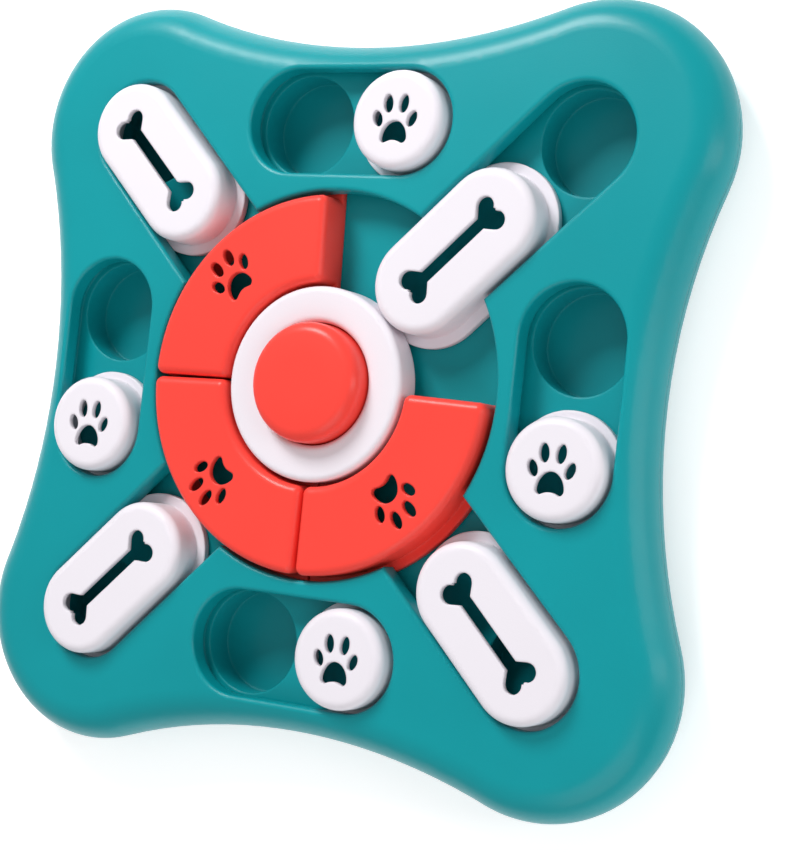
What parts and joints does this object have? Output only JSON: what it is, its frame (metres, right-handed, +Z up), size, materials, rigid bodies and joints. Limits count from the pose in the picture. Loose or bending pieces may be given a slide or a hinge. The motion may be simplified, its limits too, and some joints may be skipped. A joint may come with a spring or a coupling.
{
  "type": "dog puzzle feeder toy",
  "caption": "Square slow-feeder puzzle board with covered treat wells, sliding caps, turning ring blocks around a hub and a squeaking push button.",
  "frame": {"origin": "middle of the board on the plane its feet rest on", "axes": "+Z up out of the play face, +Y towards the picture's top edge, +X towards the picture's right edge"},
  "size_m": [0.25, 0.25, 0.0398],
  "materials": {
    "teal_plastic": "satin moulded",
    "white_plastic": "satin moulded",
    "red_plastic": "satin moulded",
    "pad_rubber": "soft",
    "bulb_rubber": "soft",
    "reed_plastic": "moulded",
    "screw_steel": "zinc plated"
  },
  "bodies": {
    "board": {"top_shell": "teal_plastic", "inner_tray": "teal_plastic", "base_shell": "teal_plastic", "foot_1": "pad_rubber", "foot_2": "pad_rubber", "foot_3": "pad_rubber", "foot_4": "pad_rubber", "hub_ring": "white_plastic", "squeaker_bulb": "bulb_rubber", "squeaker_reed": "reed_plastic", "tray_screws": "screw_steel", "base_screws": "screw_steel", "hub_screws": "screw_steel"},
    "squeak_button": {"squeak_button": "red_plastic"},
    "paw_slider_east": {"paw_slider_east": "white_plastic"},
    "paw_slider_north": {"paw_slider_north": "white_plastic"},
    "paw_slider_west": {"paw_slider_west": "white_plastic"},
    "paw_slider_south": {"paw_slider_south": "white_plastic"},
    "bone_slider_ne": {"bone_slider_ne": "white_plastic"},
    "bone_slider_nw": {"bone_slider_nw": "white_plastic"},
    "bone_slider_sw": {"bone_slider_sw": "white_plastic"},
    "bone_slider_se": {"bone_slider_se": "white_plastic"},
    "ring_block_a": {"ring_block_a": "red_plastic"},
    "ring_block_b": {"ring_block_b": "red_plastic"},
    "ring_block_c": {"ring_block_c": "red_plastic"}
  },
  "joints": [
    {"name": "button_press", "type": "slide", "parent": "board", "child": "squeak_button", "axis": [0, 0, -1], "range_m": [0, 0.004], "stiffness_N_per_m": 1200, "springref_m": -0.0008, "deforming": ["squeaker_bulb"]},
    {"name": "paw_slider_east_run", "type": "slide", "parent": "board", "child": "paw_slider_east", "axis": [0, 1, 0], "range_m": [0, 0.0386]},
    {"name": "paw_slider_north_run", "type": "slide", "parent": "board", "child": "paw_slider_north", "axis": [-1, 0, 0], "range_m": [0, 0.0386]},
    {"name": "paw_slider_west_run", "type": "slide", "parent": "board", "child": "paw_slider_west", "axis": [0, 1, 0], "range_m": [0, 0.0386]},
    {"name": "paw_slider_south_run", "type": "slide", "parent": "board", "child": "paw_slider_south", "axis": [-1, 0, 0], "range_m": [0, 0.0386]},
    {"name": "bone_slider_ne_run", "type": "slide", "parent": "board", "child": "bone_slider_ne", "axis": [0.7071, 0.7071, 0], "range_m": [0, 0.0362]},
    {"name": "bone_slider_nw_run", "type": "slide", "parent": "board", "child": "bone_slider_nw", "axis": [-0.7071, 0.7071, 0], "range_m": [-0.0006, 0]},
    {"name": "bone_slider_sw_run", "type": "slide", "parent": "board", "child": "bone_slider_sw", "axis": [-0.7071, -0.7071, 0], "range_m": [-0.0006, 0]},
    {"name": "bone_slider_se_run", "type": "slide", "parent": "board", "child": "bone_slider_se", "axis": [0.7071, -0.7071, 0], "range_m": [-0.0006, 0]},
    {"name": "ring_block_a_turn", "type": "hinge", "parent": "board", "child": "ring_block_a", "pos_m": [0, 0, 0.02], "axis": [0, 0, 1], "range_deg": [-23, 0]},
    {"name": "ring_block_b_turn", "type": "hinge", "parent": "board", "child": "ring_block_b", "pos_m": [0, 0, 0.02], "axis": [0, 0, 1], "range_deg": [-23, 0]},
    {"name": "ring_block_c_turn", "type": "hinge", "parent": "board", "child": "ring_block_c", "pos_m": [0, 0, 0.02], "axis": [0, 0, 1], "range_deg": [0, 22]}
  ],
  "couplings": [
    {"joint": "ring_block_b_turn", "follows": "ring_block_a_turn", "ratio": 1}
  ]
}
